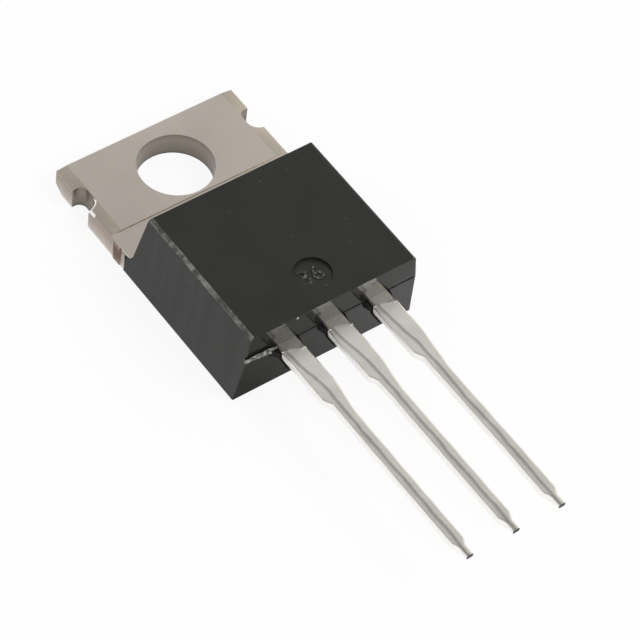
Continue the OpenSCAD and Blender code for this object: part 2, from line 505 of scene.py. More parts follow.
@dataclass(frozen=True)
class SpeckledSkin(Finish):
    """A skin of two tones, raised where the second one is.

    Attributes:
        name: The material's name.
        ground: Colour between the specks.
        speck: Colour of the specks.
        speck_mm: Size of the specks.
        share_from: Noise level at which specks begin.
        share_to: Noise level at which they are full.
        depth_mm: Relief of the specks.
        roughness: Roughness of the surface.
        specular: Share of gloss, where a plain epoxy has 0.5.
        metallic: 1 for a metal.
        raggedness: Roughness of the specks' outlines.
        strength: Strength of the relief.
    """

    name: str
    ground: str
    speck: str
    speck_mm: float = 0.14
    share_from: float = 0.45
    share_to: float = 0.62
    depth_mm: float = 0.02
    roughness: float = 0.55
    specular: float = 0.5
    metallic: float = 0.0
    raggedness: float = 0.6
    strength: float = 0.7

    def shade(self, add: Callable[..., Node], coords: NodeSocket) -> Node:
        """Adds the specks and their relief.

        Args:
            add: Adds a node to the material.
            coords: The object coordinates in it.

        Returns:
            The shader.
        """
        look = {"Scale": per_metre(self.speck_mm), "Detail": 3, "Roughness": self.raggedness}
        specks = add("TexNoise", {"Vector": coords, **look})
        stops = [(self.share_from, self.ground), (self.share_to, self.speck)]
        relief = {"Strength": self.strength, "Distance": self.depth_mm * MM, "Height": specks}
        surface = {
            "Base Color": add("ValToRGB", [specks], stops),
            "Metallic": self.metallic,
            "Roughness": self.roughness,
            "Specular IOR Level": self.specular,
            "Normal": add("Bump", relief),
        }
        return add("BsdfPrincipled", surface)


@dataclass(frozen=True)
class BrokenEpoxy(SpeckledSkin):
    """Epoxy whose skin is rubbed or torn, so that the silica filler shows.

    The eye gets a coarse mix of dark resin and pale specks. Its copies also carry
    a painted highlight on the body's left round, and near-black painted shadow.
    """


@dataclass(frozen=True)
class InnerFinish(SpeckledSkin):
    """One of the hidden finishes: silicon, die solder or bond wire.

    The eye, were the moulding cut open, would get a dark mirror for the chip,
    a dull grey for its solder and a bright drawn sheen for the wires.
    """

    share_from: float = NOISE_LOW
    share_to: float = NOISE_HIGH
    depth_mm: float = 0.003
    metallic: float = 1.0
    raggedness: float = 0.5
    strength: float = 0.3


@dataclass(frozen=True)
class FloorPaint(Finish):
    """Pale matt floor paint.

    The eye gets plain white, on which the object's shadow stays faint.
    """

    name: str = "pale_floor_paint"
    colour: str = "f4f4f2"
    shadow: float = 0.1

    def shade(self, add: Callable[..., Node], coords: NodeSocket) -> Node:
        """Adds the paint, and plain white where it is seen or mirrored.

        Args:
            add: Adds a node to the material.
            coords: The object coordinates in it, which plain paint leaves unused.

        Returns:
            The shader.
        """
        path = add("LightPath").outputs
        seen = path["Is Camera Ray"]
        for ray in ("Is Glossy Ray", "Is Transmission Ray"):
            seen = add("Math", [seen, path[ray]], operation="MAXIMUM")
        paint = add("BsdfDiffuse", {"Color": linear(self.colour)})
        white = add("Emission", {"Color": (1, 1, 1, 1), "Strength": 1.0})
        share = add("Math", [seen, 1 - self.shadow], operation="MULTIPLY")
        return add("MixShader", [share, paint, white])


def merged_solid(node: str) -> BMesh:
    """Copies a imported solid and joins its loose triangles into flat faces.

    Args:
        node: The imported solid's name.

    Returns:
        A closed mesh with one face for each flat stretch.
    """
    bm = bmesh.new()
    bm.from_mesh(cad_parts[node].data)
    bmesh.ops.remove_doubles(bm, verts=bm.verts, dist=WELD)
    bmesh.ops.dissolve_limit(
        bm,
        angle_limit=math.radians(0.5),
        use_dissolve_boundaries=False,
        verts=bm.verts,
        edges=bm.edges,
        delimit=set(),
    )
    bm.normal_update()
    return bm


def edges_where(
    bm: BMesh, test: Callable[[Vector, Vector], bool], least: float = 12.0
) -> list[BMEdge]:
    """Finds the convex edges whose two ends pass a test.

    Args:
        bm: The mesh to search.
        test: Takes both ends in millimetres and says whether to keep the edge.
        least: Least angle between the two faces, in degrees.

    Returns:
        The edges found.
    """
    sharp = math.radians(least)
    found = []
    for edge in bm.edges:
        if not edge.is_manifold or not edge.is_convex or edge.calc_face_angle(0.0) < sharp:
            continue
        first, second = (v.co / MM for v in edge.verts)
        if test(first, second):
            found.append(edge)
    return found


def round_over(
    bm: BMesh, edges: Iterable[BMEdge], radius_mm: float, segments: int = 3, clamp: bool = True
) -> None:
    """Rounds edges with a bevel.

    Args:
        bm: The mesh to change.
        edges: The edges to round.
        radius_mm: Width of the bevel on each face.
        segments: Facets of the round.
        clamp: Whether short edges may narrow the bevel.
    """
    bmesh.ops.bevel(
        bm,
        geom=list(edges),
        offset=radius_mm * MM,
        offset_type="OFFSET",
        segments=segments,
        profile=0.5,
        affect="EDGES",
        material=-1,
        clamp_overlap=clamp,
    )
    bm.normal_update()


def slice_at(bm: BMesh, axis: int, places_mm: Iterable[float]) -> None:
    """Adds a loop of edges at each place along an axis.

    Args:
        bm: The mesh to change.
        axis: 0 for X, 1 for Y, 2 for Z.
        places_mm: Where to cut.
    """
    normal = Vector((0, 0, 0))
    normal[axis] = 1.0
    for place in places_mm:
        bmesh.ops.bisect_plane(
            bm,
            geom=bm.verts[:] + bm.edges[:] + bm.faces[:],
            dist=ON_CUT,
            plane_co=normal * place * MM,
            plane_no=normal,
        )


def steps(start: float, end: float, step: float) -> list[float]:
    """Gives evenly spaced places strictly between two ends, about a step apart."""
    count = max(1, round(abs(end - start) / step))
    return [start + (end - start) * i / count for i in range(1, count)]


def close_up(bm: BMesh) -> None:
    """Drops the spare corners and slivers that slices and bevels leave.

    Args:
        bm: The mesh to clean.
    """
    spare = [v for v in bm.verts if len(v.link_edges) == 2]
    bmesh.ops.dissolve_verts(bm, verts=spare)
    bmesh.ops.dissolve_degenerate(bm, dist=WELD, edges=bm.edges)
    bmesh.ops.triangulate(
        bm, faces=bm.faces[:], quad_method="SHORT_EDGE", ngon_method="BEAUTY"
    )


def corner_normals(bm: BMesh, smooth_below: float) -> list[Vector]:
    """Works out normals that leave broad faces flat and rounds smooth.

    Args:
        bm: The finished mesh.
        smooth_below: Faces that meet flatter than this share a normal, in degrees.

    Returns:
        One normal for each corner of each face, in order.
    """
    bm.normal_update()
    bm.faces.index_update()
    least = math.cos(math.radians(smooth_below))
    areas = [face.calc_area() / MM**2 for face in bm.faces]
    normals = []
    for face in bm.faces:
        for loop in face.loops:
            total = Vector()
            for other in loop.vert.link_faces:
                if other.normal.dot(face.normal) > least:
                    total += other.normal * areas[other.index]
            normals.append(total.normalized() if total.length > 0 else face.normal.copy())
    return normals


def as_piece(
    bm: BMesh,
    name: str,
    slot: Slot,
    materials: Sequence[Material],
    stands_for: str | None = None,
    smooth_below: float = 32.0,
) -> None:
    """Makes a mesh into a piece of the object.

    Args:
        bm: The finished mesh, in metres, which is freed.
        name: The piece's name.
        slot: The record's slot for its finish.
        materials: Its materials, by face index.
        stands_for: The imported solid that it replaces, if any.
        smooth_below: Edges flatter than this are shaded smooth, in degrees.
    """
    close_up(bm)
    mesh = bpy.data.meshes.new(name)
    normals = corner_normals(bm, smooth_below)
    bm.to_mesh(mesh)
    bm.free()
    for material in materials:
        mesh.materials.append(material)
    mesh.shade_smooth()
    mesh.normals_split_custom_set(normals)
    piece = bpy.data.objects.new(name, mesh)
    bpy.context.scene.collection.objects.link(piece)
    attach(piece, BODY)
    if stands_for:
        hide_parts(stands_for)
    log.info("%s: %d faces, slot %s", name, len(mesh.polygons), slot.value)


@dataclass
class DippedLead:
    """The part of a lead outside the moulding, shaped by cutter and solder."""

    buried_y_mm: float = -12.3
    dip_y_mm: float = -13.0
    cutter_y_mm: float = -26.1
    middle_z_mm: float = 2.87
    pitch_mm: float = 2.54
    pinch_mm: float = 0.17
    round_mm: float = 0.1
    round_facets: int = 4
    # The bead of solder: its near edge, crest and far edge
    bead_y_mm: tuple[float, float, float] = (-13.0, -13.07, -13.17)
    bead_mm: float = 0.03
    bead_least: float = 0.55
    bead_lean: float = 0.25
    bead_sway_mm: float = 0.08
    bead_reach_mm: float = 0.11
    bead_half_mm: float = 4.0
    column_mm: float = 0.17
    ripple_mm: float = 0.028
    ripple_period_mm: float = 0.9
    slice_mm: float = 0.3
    # Towards its middle a lead swells less, and its top less than its sides
    ripple_rise: float = 4.0
    ripple_top: float = 0.5
    # Steps through the noise from lead to lead, side to side and side to top
    noise_steps: tuple[float, float, float] = (7.3, 3.1, 9.0)

    def is_outside(self, a: Vector, b: Vector) -> bool:
        """Says whether an edge, in millimetres, is outside and short of the cut."""
        return self.cutter_y_mm - 0.05 < max(a.y, b.y) < self.buried_y_mm + NEAR

    def shape(self, bm: BMesh) -> None:
        """Pinches the tip, rounds the edges and lets the solder ripple.

        Args:
            bm: The lead's mesh, or the whole stamping that carries it.
        """
        for vert in bm.verts:
            if vert.co.y < self.cutter_y_mm * MM and vert.co.z < self.middle_z_mm * MM:
                vert.co.z += self.pinch_mm * MM
        slice_at(bm, 1, [self.buried_y_mm])
        round_over(bm, edges_where(bm, self.is_outside, 20), self.round_mm, self.round_facets)
        rings = steps(self.bead_y_mm[-1], self.cutter_y_mm, self.slice_mm)
        slice_at(bm, 1, [*self.bead_y_mm, *rings])
        self.ripple(bm)
        self.raise_bead(bm)
        bm.normal_update()

    def ripple(self, bm: BMesh) -> None:
        """Lets the solder swell and shrink along the sides and the top.

        Args:
            bm: The mesh that carries the leads.
        """
        lead_step, side_step, top_step = self.noise_steps
        for vert in bm.verts:
            place = vert.co / MM
            if not self.cutter_y_mm < place.y < self.dip_y_mm - 0.1:
                continue
            lead = round(place.x / self.pitch_mm)
            offset = place.x - lead * self.pitch_mm
            side = 1.0 if offset > 0 else -1.0
            along = Vector((place.y / self.ripple_period_mm, lead * lead_step, side * side_step))
            swell = noise.noise(along) * self.ripple_mm
            above = noise.noise(along + Vector((0, 0, top_step))) * self.ripple_mm
            vert.co.x += side * swell * min(1.0, abs(offset) * self.ripple_rise) * MM
            vert.co.z += above * self.ripple_top * MM

    def raise_bead(self, bm: BMesh) -> None:
        """Raises the uneven bead of solder where the dip ends, across the top.

        Args:
            bm: The mesh that carries the leads.
        """
        near, crest, far = self.bead_y_mm
        band = []
        for face in bm.faces:
            away = abs(face.calc_center_median().y / MM - crest)
            if away < self.bead_reach_mm and face.normal.z > 0.99:
                band.append(face)
        columns = round(self.bead_half_mm / self.column_mm)
        for column in range(-columns, columns):
            edges, corners = (e for f in band for e in f.edges), (v for f in band for v in f.verts)
            # Each part once, and always in the same order
            cut = bmesh.ops.bisect_plane(
                bm,
                geom=list(dict.fromkeys([*band, *edges, *corners])),
                dist=ON_CUT,
                plane_co=Vector((column * self.column_mm * MM, 0, 0)),
                plane_no=Vector((1, 0, 0)),
            )
            band = [item for item in cut["geom"] if isinstance(item, BMFace)]
        for vert in bm.verts:
            place = vert.co / MM
            if not far - NEAR < place.y < near + NEAR or place.z < self.middle_z_mm:
                continue
            offset = place.x - round(place.x / self.pitch_mm) * self.pitch_mm
            if abs(place.y - crest) < NEAR / 2:
                vert.co.z += self.bead_mm * (self.bead_least + noise.noise(place * 3.3)) * MM
            sway = noise.noise(place * 2.1) * self.bead_sway_mm
            vert.co.y += (sway - offset * self.bead_lean) * MM

    def coat_of(self, face: BMFace) -> Coat:
        """Picks the coat of a face of the lead.

        Args:
            face: A face of the lead.

        Returns:
            The coat of the top and bottom, of the cutter's end or of a side.
        """
        if face.normal.y < -0.7 and face.calc_center_median().y < self.cutter_y_mm * MM:
            return Coat.CUT
        # Sides take the near-white copy, whose white is painted reflection of the floor
        return Coat.SIDE if abs(face.normal.z) < 0.5 else Coat.TOP


def lead_coats() -> list[Material]:
    """Makes the finishes that all three leads share.

    Returns:
        The materials, in the order of Coat.
    """
    # Chopped through after dipping, so dark bare copper alloy shows
    cut = CutMetal(
        "chopped_lead_end",
        ((0, "77736b"), (0.3, "56524c"), (0.6, "45413c"), (1, "4f4b45")),
        roughness=0.45,
        foot_mm=2.8,
        top_mm=3.1,
    )
    # Down the sides the solder is painted near-white and half matt, a painted
    # reflection of the pale floor, with darker plating at their root
    side = SolderDip(
        "solder_sides_painted_reflection",
        *["fdfcfa"] * 4,
        plating="8f8b84",
        roughness=0.3,
        edge_roughness=0.8,
        metallic=0.45,
        frosty_to_mm=-14.3,
    )
    return [finish.make() for finish in (SolderDip(), cut, side)]


@dataclass
class DrainStamping:
    """The tab, die pad and middle lead, stamped from one strip."""

    edge_round_mm: float = 0.06
    rim_round_mm: float = 0.04
    hole_r_mm: float = 1.875
    hole_clear_mm: float = 0.2
    side_x_mm: float = 5.0
    notch_y_mm: tuple[float, float] = (-0.2, 1.3)
    notch_depth_mm: float = 0.58
    covered_y_mm: float = -3.7
    lead_from_mm: float = -10.9
    coin_y_mm: float = -2.0
    # The top edge stays bare beside the moulding's foot, and at its left its bevel
    # gets a painted glint
    lip_z_mm: float = 1.08
    lip_end_mm: float = -3.62
    shoulder_x_mm: float = 4.6
    shoulder_y_mm: tuple[float, float] = (-3.45, -3.1)
    painted_glint_from_mm: float = -2.8
    painted_glint_x_mm: float = -4.85
    # The near corner of the left notch caught in the feeder and wore round, and its
    # bevel gets a painted glint
    catch_y_mm: tuple[float, float] = (-0.62, 0.3)
    catch_x_mm: float = -4.35
    catch_painted_glint_x_mm: float = -4.38
    catch_over_mm: float = 1.0
    catch_round_mm: float = 0.12
    # Three points of the plane across the underside's far left corner
    far_plane_mm: tuple[tuple[float, float, float], ...] = (
        (-5, 2.65, 0.38),
        (-5, 2.15, 0),
        (-4.6, 2.65, 0),
    )

    def is_rim(self, a: Vector, b: Vector) -> bool:
        """Says whether an edge, in millimetres, runs round the hole."""
        off = max(abs(math.hypot(p.x, p.y) - self.hole_r_mm) for p in (a, b))
        return off < 3 * NEAR and abs(a.z - b.z) < NEAR

    def is_catch(self, a: Vector, b: Vector) -> bool:
        """Says whether an edge, in millimetres, is on the notch's worn corner."""
        beside = self.catch_y_mm[0] < min(a.y, b.y) and max(a.y, b.y) < self.catch_y_mm[1]
        return beside and max(a.x, b.x) < self.catch_x_mm and min(a.z, b.z) > self.catch_over_mm

    def is_outer(self, a: Vector, b: Vector) -> bool:
        """Says whether an edge is one of the tab's others that wear a little.

        Args:
            a: One end of the edge, in millimetres.
            b: The other end.

        Returns:
            False for the hole, the coined step, the worn corner and the pad.
        """
        coined = max(abs(p.y - self.coin_y_mm) for p in (a, b)) < 2 * NEAR
        off_hole = min(math.hypot(p.x, p.y) for p in (a, b)) > self.hole_r_mm + self.hole_clear_mm
        within = max(abs(a.x), abs(b.x)) < self.side_x_mm + 2 * NEAR
        on_tab = within and min(a.y, b.y) > self.covered_y_mm
        return on_tab and off_hole and not coined and not self.is_catch(a, b)

    def build(self) -> BMesh:
        """Shapes the stamping with its worn edges.

        Returns:
            The mesh.
        """
        bm = merged_solid("drain_tab")
        self.reach_into_corner(bm)
        self.cut_far_corner(bm)
        round_over(bm, edges_where(bm, self.is_rim), self.rim_round_mm, 2)
        slice_at(bm, 1, [self.catch_y_mm[0] + 2 * NEAR])
        round_over(bm, edges_where(bm, self.is_catch), self.catch_round_mm, clamp=False)
        round_over(bm, edges_where(bm, self.is_outer, 30), self.edge_round_mm)
        DippedLead().shape(bm)
        return bm

    def reach_into_corner(self, bm: BMesh) -> None:
        """Draws the upper edge of both shoulders up to the moulding's foot.

        Args:
            bm: The stamping's mesh.
        """
        slice_at(bm, 2, [self.lip_z_mm])
        low, high = self.shoulder_y_mm
        for vert in bm.verts:
            place = vert.co / MM
            on_lip = place.z > self.lip_z_mm + NEAR and low < place.y < high
            if on_lip and abs(place.x) > self.shoulder_x_mm:
                vert.co.y = self.lip_end_mm * MM

    def cut_far_corner(self, bm: BMesh) -> None:
        """Cuts off the underside's far left corner, where the strip rolled over.

        Args:
            bm: The stamping's mesh.
        """
        high, near, inner = (Vector(point) * MM for point in self.far_plane_mm)
        outward = (high - near).cross(inner - near)
        if outward.dot(Vector((-1, 1, -1))) < 0:
            outward.negate()
        bmesh.ops.bisect_plane(
            bm,
            geom=bm.verts[:] + bm.edges[:] + bm.faces[:],
            dist=ON_CUT,
            plane_co=near,
            plane_no=outward.normalized(),
            clear_outer=True,
        )
        bmesh.ops.holes_fill(bm, edges=bm.edges[:], sides=0)
        bm.normal_update()

    def finish_of(self, face: BMFace, lead: DippedLead) -> int:
        """Picks a face's finish by where it is.

        Args:
            face: A face of the stamping.
            lead: The shape of its lead.

        Returns:
            The finish's place in the piece's list.
        """
        normal, centre = face.normal, face.calc_center_median() / MM
        if centre.y < self.lead_from_mm:
            return TabFinish.LEAD + lead.coat_of(face)
        low, high = self.catch_y_mm
        near_catch = low < centre.y < high and centre.x < self.catch_painted_glint_x_mm
        along_lip = self.lip_end_mm - NEAR < centre.y < self.painted_glint_from_mm
        on_shoulder = along_lip and centre.x < self.painted_glint_x_mm
        # Tilted bevels at the notch corner and the shoulder's left get the painted glint
        if (near_catch or on_shoulder) and 0.15 < normal.z < 0.97:
            return TabFinish.PAINTED_GLINT
        if normal.z > 0.6 and abs(normal.x) > 0.09:
            return TabFinish.ROLLED
        if abs(normal.z) > 0.6:
            return TabFinish.PLATED
        if abs(normal.y) > 0.9 and abs(centre.y - self.coin_y_mm) < 0.1:
            return TabFinish.PUNCHED
        if abs(centre.x) > self.side_x_mm + 3 * NEAR:
            return TabFinish.BARE
        in_notch = self.notch_y_mm[0] < centre.y < self.notch_y_mm[1]
        notch_x = self.side_x_mm - self.notch_depth_mm - 0.1
        off_edge = notch_x < abs(centre.x) < self.side_x_mm - 2 * NEAR
        in_hole = math.hypot(centre.x, centre.y) < self.hole_r_mm + 0.05
        return TabFinish.PUNCHED if in_hole or (in_notch and off_edge) else TabFinish.SHEARED

    def dress(self, bm: BMesh, coats: Sequence[Material]) -> None:
        """Gives the stamping its finishes.

        Args:
            bm: The shaped mesh.
            coats: The finishes of its lead, in the order of Coat.
        """
        lead = DippedLead()
        for face in bm.faces:
            face.material_index = self.finish_of(face, lead)
        # Sheared along the strip and plated after: a pale wall, pink where the tin is thin,
        # and painted lighter towards its foot as painted reflection of the pale floor
        sheared = CutMetal(
            "tinned_sheared_edge_painted_reflection",
            ((0, "d3cbc5"), (0.2, "b7ada5"), (0.5, "aa9c93"), (0.8, "988b80"), (1, "a3988b")),
            roughness=0.3,
            drag_mm=0.2,
            drag_depth_mm=0.003,
        )
        # Punched through: burnished above, broken below, and darker towards the foot
        punched = CutMetal(
            "punched_copper_wall",
            ((0, "4d4743"), (0.14, "756e68"), (0.4, "80786f"), (0.75, "8d847b"), (0.94, "857b72")),
            roughness=0.42,
            waver=0.12,
        )
        # The bridge to the next part was broken off after plating, so copper shows
        bare = CutMetal(
            "bare_broken_copper",
            ((0, "9c8a80"), (0.2, "7d695e"), (0.5, "664f45"), (0.75, "7a6155"), (1, "b39f94")),
            roughness=0.45,
            waver=0.9,
            drag_mm=0.1,
            drag_depth_mm=0.012,
        )
        # A darker copy of the tin on the tilted strips along both edges
        rolled = TinnedCopper("tin_on_rolled_strip", "c6bcae", "bbb1a2")
        # Painted glint: a near-white, glossier copy of the tin on the worn notch corner and
        # the shoulder's left bevel
        burnished = TinnedCopper("tin_edge_painted_glint", "fbf9f6", "f0ece7", 0.2)
        plates = [finish.make() for finish in (TinnedCopper(), sheared, punched, bare)]
        finishes = [*plates, *coats, rolled.make(), burnished.make()]
        as_piece(bm, "drain_stamping", Slot.TAB, finishes, "drain_tab")


@dataclass
class OuterLead:
    """The gate or source lead, dipped in solder outside the moulding."""

    solid: str

    def build(self) -> BMesh:
        """Shapes the lead.

        Returns:
            The mesh.
        """
        bm = merged_solid(self.solid)
        DippedLead().shape(bm)
        return bm

    def dress(self, bm: BMesh, coats: Sequence[Material]) -> None:
        """Gives the lead its finishes.

        Args:
            bm: The shaped mesh.
            coats: The finishes of the leads, in the order of Coat.
        """
        lead = DippedLead()
        for face in bm.faces:
            face.material_index = lead.coat_of(face)
        as_piece(bm, self.solid + "_dipped", Slot.LEAD, coats, self.solid)


@dataclass
class MouldedBody:
    """The epoxy moulding, with its worn edge and its ejector mark."""

    top_mm: float = 4.45
    top_half_mm: float = 4.578
    rear_top_mm: float = -4.27
    end_y_mm: float = -12.1
    side_round_mm: float = 0.2
    corner_round_mm: float = 0.06
    edge_round_mm: float = 0.06
    rim_round_mm: float = 0.035
    # The rounded left edge of the top is rubbed from here on, and down to here
    worn_from_mm: float = -12.3
    worn_low_mm: float = 4.22
    wear_mm: float = 0.05
    wear_period_mm: float = 0.55
    wear_level: float = 0.35
    wear_slice_mm: float = 0.18
    # The foot in front of the rear wall rests lower than its solid
    foot_top_mm: float = 1.25
    foot_front_mm: float = -3.6
    foot_drop_mm: float = 0.1
    # The ejector pin stood askew, so the recess is deepest at its far side
    mark_y_mm: float = -10.7
    mark_r_mm: float = 0.92
    mark_floor_mm: float = 4.39
    mark_deep_mm: float = 0.16
    mark_shallow_mm: float = 0.03
    mark_deep_towards: float = math.radians(58)
    # Edges of the top nearer than this to the mark's centre are its rim
    mark_rim_mm: float = 1.0

    def from_mark(self, point: Vector) -> float:
        """Gives a point's distance from the mark's centre, seen from above."""
        return math.hypot(point.x, point.y - self.mark_y_mm)

    def tilt_mark(self, bm: BMesh) -> None:
        """Lowers the floor of the recess towards its deep side.

        Args:
            bm: The body's mesh.
        """
        towards = Vector((math.cos(self.mark_deep_towards), math.sin(self.mark_deep_towards)))
        for vert in bm.verts:
            place = vert.co / MM
            off_floor = abs(place.z - self.mark_floor_mm) > 0.002
            if off_floor or self.from_mark(place) > self.mark_r_mm + NEAR:
                continue
            reach = Vector((place.x, place.y - self.mark_y_mm)).dot(towards) / self.mark_r_mm
            fall = (self.mark_deep_mm - self.mark_shallow_mm) * (reach + 1) / 2
            vert.co.z = (self.top_mm - (self.mark_shallow_mm + fall)) * MM
        bm.normal_update()

    def is_top(self, a: Vector, b: Vector) -> bool:
        """Says whether an edge, in millimetres, lies in the top face."""
        return max(abs(a.z - self.top_mm), abs(b.z - self.top_mm)) < 0.004

    def is_side_top(self, a: Vector, b: Vector) -> bool:
        """Says whether an edge, in millimetres, is where the top meets a side."""
        at_side = abs(a.x - b.x) < NEAR and abs(a.x) > self.top_half_mm - 0.05
        return at_side and self.is_top(a, b)

    def is_front_corner(self, a: Vector, b: Vector) -> bool:
        """Says whether an edge, in millimetres, is an upright one of the lead side."""
        upright = abs(a.z - b.z) > 1.0 and min(abs(a.x), abs(b.x)) > 4.5
        return upright and max(a.y, b.y) < self.end_y_mm

    def is_fine(self, a: Vector, b: Vector) -> bool:
        """Says whether an edge, in millimetres, is one of the top's outer ones."""
        nearest = min(self.from_mark(a), self.from_mark(b))
        return self.is_top(a, b) and nearest > self.mark_rim_mm

    def is_rim(self, a: Vector, b: Vector) -> bool:
        """Says whether an edge, in millimetres, is on the rim of the mark."""
        furthest = max(self.from_mark(a), self.from_mark(b))
        return self.is_top(a, b) and furthest < self.mark_rim_mm

    def build(self) -> BMesh:
        """Shapes the moulding.

        Returns:
            The mesh.
        """
        bm = merged_solid("moulded_body")
        self.tilt_mark(bm)
        for vert in bm.verts:
            place = vert.co / MM
            if abs(place.z - self.foot_top_mm) < NEAR and place.y > self.foot_front_mm:
                vert.co.z -= self.foot_drop_mm * MM
        for test, radius_mm, facets in (
            (self.is_side_top, self.side_round_mm, 5),
            (self.is_front_corner, self.corner_round_mm, 3),
            (self.is_fine, self.edge_round_mm, 3),
            (self.is_rim, self.rim_round_mm, 2),
        ):
            round_over(bm, edges_where(bm, test, 40), radius_mm, facets)
        self.wear_left_edge(bm)
        return bm

    def wear_left_edge(self, bm: BMesh) -> None:
        """Rubs the rounded left edge of the top unevenly.

        Args:
            bm: The body's mesh.
        """
        slice_at(bm, 1, steps(self.rear_top_mm - 0.1, self.worn_from_mm, self.wear_slice_mm))
        inner = self.side_round_mm - self.top_half_mm - 2 * NEAR
        worn = []
        for vert in bm.verts:
            place = vert.co / MM
            on_round = self.worn_low_mm < place.z < self.top_mm - 0.003 and place.x < inner
            if on_round and self.worn_from_mm < place.y < self.rear_top_mm - 0.15:
                worn.append((vert, vert.normal.copy()))
        for vert, out in worn:
            rub = noise.noise(vert.co / (self.wear_period_mm * MM)) - self.wear_level
            vert.co += out * min(0.0, rub) * self.wear_mm * MM
        bm.normal_update()

    def finish_of(self, face: BMFace) -> BodyFinish:
        """Picks a face's finish by where it is and how it faces.

        Args:
            face: A face of the moulding.

        Returns:
            The finish.
        """
        normal, centre = face.normal, face.calc_center_median() / MM
        if normal.y < -0.9:
            return BodyFinish.END
        rounded = self.worn_low_mm < centre.z < self.top_mm - 0.001 and normal.z > 0.12
        at_left = centre.x < self.side_round_mm - self.top_half_mm
        if rounded and at_left and centre.y > self.worn_from_mm:
            # Upper round: rubbed skin painted lighter as a highlight; lower round: painted shadow
            return BodyFinish.RUBBED_AND_HIGHLIT if normal.z > 0.36 else BodyFinish.PAINTED_SHADOW
        return BodyFinish.TOP if normal.z > 0.6 else BodyFinish.SIDE

    def dress(self, bm: BMesh) -> None:
        """Gives each wall of the moulding its own surface.

        Args:
            bm: The shaped mesh.
        """
        for face in bm.faces:
            face.material_index = self.finish_of(face)
        side = MouldedEpoxy(Wall.SIDE, "1b1b19", "282826", cloud_mm=0.8, roughness=0.45)
        end = MouldedEpoxy(Wall.END, roughness=0.12, grain_depth_mm=0.001, specular=0.5)
        # Rubbed skin whose pale specks also paint a highlight; below it, near-black painted shadow
        rubbed = BrokenEpoxy("rubbed_epoxy_edge_painted_highlight", "353533", "7c7c79", 0.42, 0.36, 0.66, 0.07)
        painted_shadow_epoxy = BrokenEpoxy("epoxy_edge_painted_shadow", "0c0c0b", "262624", 0.5, 0.35, 0.65, 0.03)
        finishes = [f.make() for f in (MouldedEpoxy(Wall.TOP), side, end, rubbed, painted_shadow_epoxy)]
        as_piece(bm, "epoxy_moulding", Slot.MOULDING, finishes, "moulded_body")


@dataclass
class MarkDigits:
    """The two raised numbers that tell the mould's cavities apart."""

    digits: str = "36"
    height_mm: float = 1.3
    spacing: float = 1.0
    left_mm: float = -0.767
    foot_y_mm: float = -11.17
    width_mm: float = 1.5
    rise_mm: float = 1.0
    foot_z_mm: float = 4.2
    top_z_mm: float = 4.4
    slice_mm: float = 0.05
    lump_mm: float = 0.03
    lump_period_mm: float = 0.13

    def build(self) -> BMesh:
        """Shapes the digits and roughens their tops.

        Returns:
            The mesh.
        """
        curve = bpy.data.curves.new("cavity_digits", "FONT")
        curve.body = self.digits
        curve.size = self.height_mm * MM
        curve.space_character = self.spacing
        curve.extrude = (self.top_z_mm - self.foot_z_mm) / 2 * MM
        curve.resolution_u = 3
        writer = bpy.data.objects.new("cavity_digits", curve)
        bm = bmesh.new()
        bm.from_mesh(writer.to_mesh())
        writer.to_mesh_clear()
        bpy.data.objects.remove(writer)
        bpy.data.curves.remove(curve)
        bmesh.ops.remove_doubles(bm, verts=bm.verts, dist=WELD)
        middle = (self.top_z_mm + self.foot_z_mm) / 2
        place = Vector((self.left_mm, self.foot_y_mm, middle)) * MM
        bmesh.ops.translate(bm, verts=bm.verts, vec=place)
        for axis, start, length in (
            (0, self.left_mm, self.width_mm),
            (1, self.foot_y_mm, self.rise_mm),
        ):
            slice_at(bm, axis, steps(start, start + length, self.slice_mm))
        for vert in bm.verts:
            if vert.co.z > middle * MM:
                lump = noise.noise(vert.co / (self.lump_period_mm * MM))
                vert.co.z += lump * self.lump_mm * MM
        bm.normal_update()
        return bm

    def dress(self, bm: BMesh) -> None:
        """Gives the digits their broken skin."""
        finish = BrokenEpoxy("speckled_epoxy_digit", "1a1a18", "5c5c58", 0.17, 0.5, 0.6)
        as_piece(bm, "cavity_digits", Slot.MOULDING, [finish.make()], smooth_below=20)


